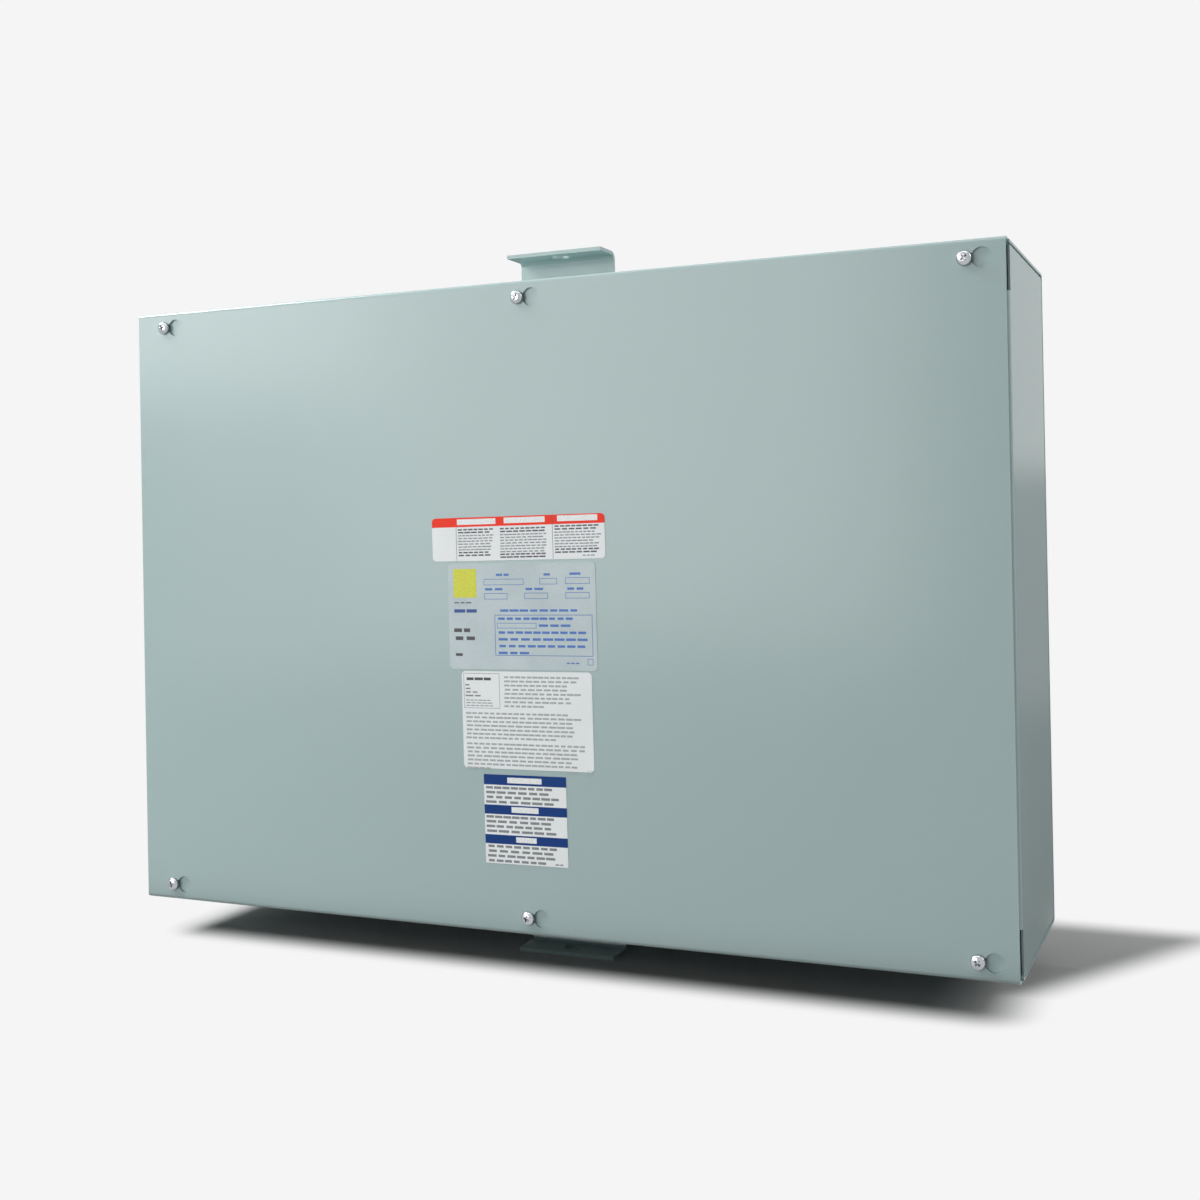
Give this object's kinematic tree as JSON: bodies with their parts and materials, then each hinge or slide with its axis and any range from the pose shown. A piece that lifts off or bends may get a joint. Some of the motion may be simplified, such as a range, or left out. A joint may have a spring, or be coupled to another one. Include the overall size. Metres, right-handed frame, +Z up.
{
  "type": "busway tap off box",
  "caption": "Wide shallow painted steel box that plugs onto a busway and feeds cables from lugs behind a screwed cover, with a hanger bracket above and below.",
  "frame": {"origin": "centre of the box's rear face, which lies against the busway", "axes": "+X along the busway to the right as seen from the front, +Y towards the busway, +Z up"},
  "size_m": [0.67, 0.2037, 0.5174],
  "materials": {
    "paint": "satin light grey-green baked enamel",
    "zinc": "bright zinc plate",
    "steel": "plain steel",
    "copper": "bright copper",
    "tin": "tin plate",
    "black_moulding": "matt thermoset moulding",
    "red_moulding": "glossy polyester moulding",
    "barrier_sheet": "matt insulating sheet",
    "red_label_film": "white vinyl with an orange-red band",
    "silver_label_film": "silver-blue polyester film",
    "white_label_film": "white vinyl",
    "blue_label_film": "white vinyl with blue bands"
  },
  "bodies": {
    "box": {"back_wrapper": "paint", "left_end_wall": "paint", "right_end_wall": "paint", "cover_nuts": "steel", "top_hanger_bracket": "paint", "bottom_hanger_bracket": "paint", "bracket_bolts": "zinc", "bracket_nuts": "zinc", "left_hook": "paint", "right_hook": "paint", "plug_base": "black_moulding", "weld_studs": "steel", "stud_nuts": "zinc", "jaw_a": "copper", "jaw_b": "copper", "jaw_c": "copper", "jaw_neutral": "copper", "jaw_ground": "copper", "jaw_springs": "steel", "jaw_rivets": "steel", "bus_bar_a": "copper", "bus_bar_b": "copper", "bus_bar_c": "copper", "bus_bar_neutral": "copper", "bus_bar_ground": "copper", "standoff_insulators": "red_moulding", "ground_spacer": "tin", "phase_barriers": "barrier_sheet", "lug_a": "tin", "lug_b": "tin", "lug_c": "tin", "lug_neutral": "tin", "lug_ground": "tin", "lug_bolts": "zinc", "lug_set_screws": "steel"},
    "cover_screws": {"cover_screws": "zinc"},
    "cover": {"cover_panel": "paint", "red_label": "red_label_film", "silver_label": "silver_label_film", "white_label": "white_label_film", "blue_label": "blue_label_film"},
    "left_clamp": {"left_clamp": "zinc"},
    "right_clamp": {"right_clamp": "zinc"},
    "left_clamp_bolt": {"left_clamp_bolt": "zinc"},
    "right_clamp_bolt": {"right_clamp_bolt": "zinc"}
  },
  "joints": [
    {"name": "cover_lift", "type": "slide", "parent": "box", "child": "cover_screws", "axis": [0, -1, 0], "range_m": [0, 0.25]},
    {"name": "cover_shift", "type": "slide", "parent": "cover_screws", "child": "cover", "axis": [-1, 0, 0], "range_m": [0, 0.0103]},
    {"name": "left_clamp_bolt_turn", "type": "hinge", "parent": "box", "child": "left_clamp_bolt", "pos_m": [-0.27, 0, -0.138], "axis": [0, -1, 0], "range_deg": [0, 2160]},
    {"name": "left_clamp_slide", "type": "slide", "parent": "box", "child": "left_clamp", "axis": [0, 1, 0], "range_m": [0, 0.0075]},
    {"name": "right_clamp_bolt_turn", "type": "hinge", "parent": "box", "child": "right_clamp_bolt", "pos_m": [0.27, 0, -0.138], "axis": [0, -1, 0], "range_deg": [0, 2160]},
    {"name": "right_clamp_slide", "type": "slide", "parent": "box", "child": "right_clamp", "axis": [0, 1, 0], "range_m": [0, 0.0075]}
  ],
  "couplings": [
    {"joint": "left_clamp_bolt_turn", "follows": "left_clamp_slide", "rad_per_m": 5026.5},
    {"joint": "right_clamp_bolt_turn", "follows": "right_clamp_slide", "rad_per_m": 5026.5}
  ]
}
